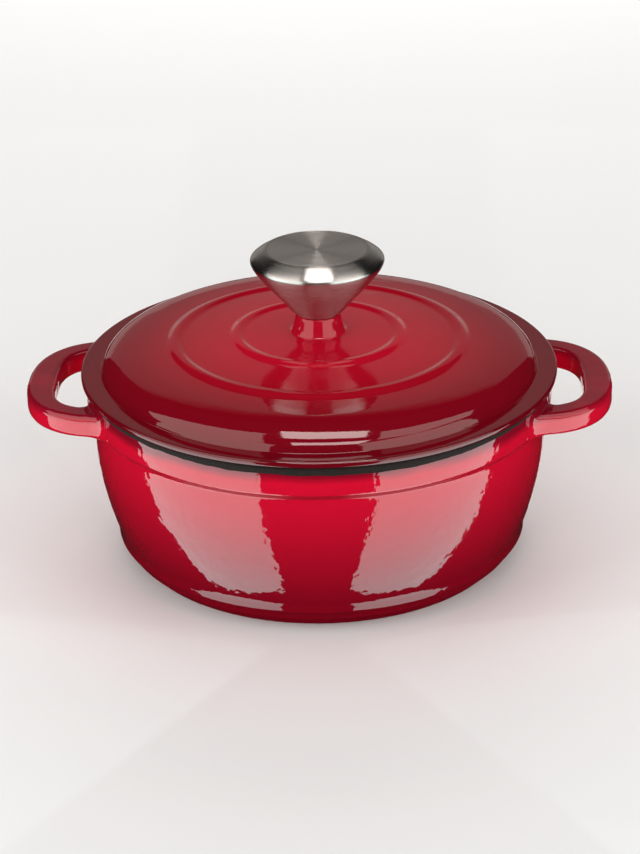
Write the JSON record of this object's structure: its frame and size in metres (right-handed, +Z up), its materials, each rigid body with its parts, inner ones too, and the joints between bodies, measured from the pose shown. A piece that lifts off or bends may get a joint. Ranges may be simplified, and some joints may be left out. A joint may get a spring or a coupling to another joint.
{
  "type": "cast iron dutch oven",
  "caption": "Small round enamelled cast iron pot with loop handles, a domed ring-ribbed lid and a stainless steel knob.",
  "frame": {"origin": "centre of the circle the pot stands on, at the height of the table", "axes": "+Z up along the pot's axis, +X through the middle of the right handle, +Y to the back"},
  "size_m": [0.261, 0.212, 0.141],
  "materials": {
    "red_enamel": "gloss",
    "black_enamel": "satin",
    "cream_enamel": "gloss",
    "brushed_steel": "satin",
    "plain_steel": "satin"
  },
  "bodies": {
    "pot": {"pot_body": "red_enamel"},
    "lid": {"lid": "red_enamel", "knob_shell": "brushed_steel", "knob_cap": "brushed_steel", "knob_insert": "plain_steel", "flat_washer": "plain_steel", "spring_washer": "plain_steel", "knob_screw": "plain_steel"}
  },
  "joints": [
    {"name": "lid_lift", "type": "slide", "parent": "pot", "child": "lid", "axis": [0, 0, 1], "range_m": [0, 0.12]}
  ]
}
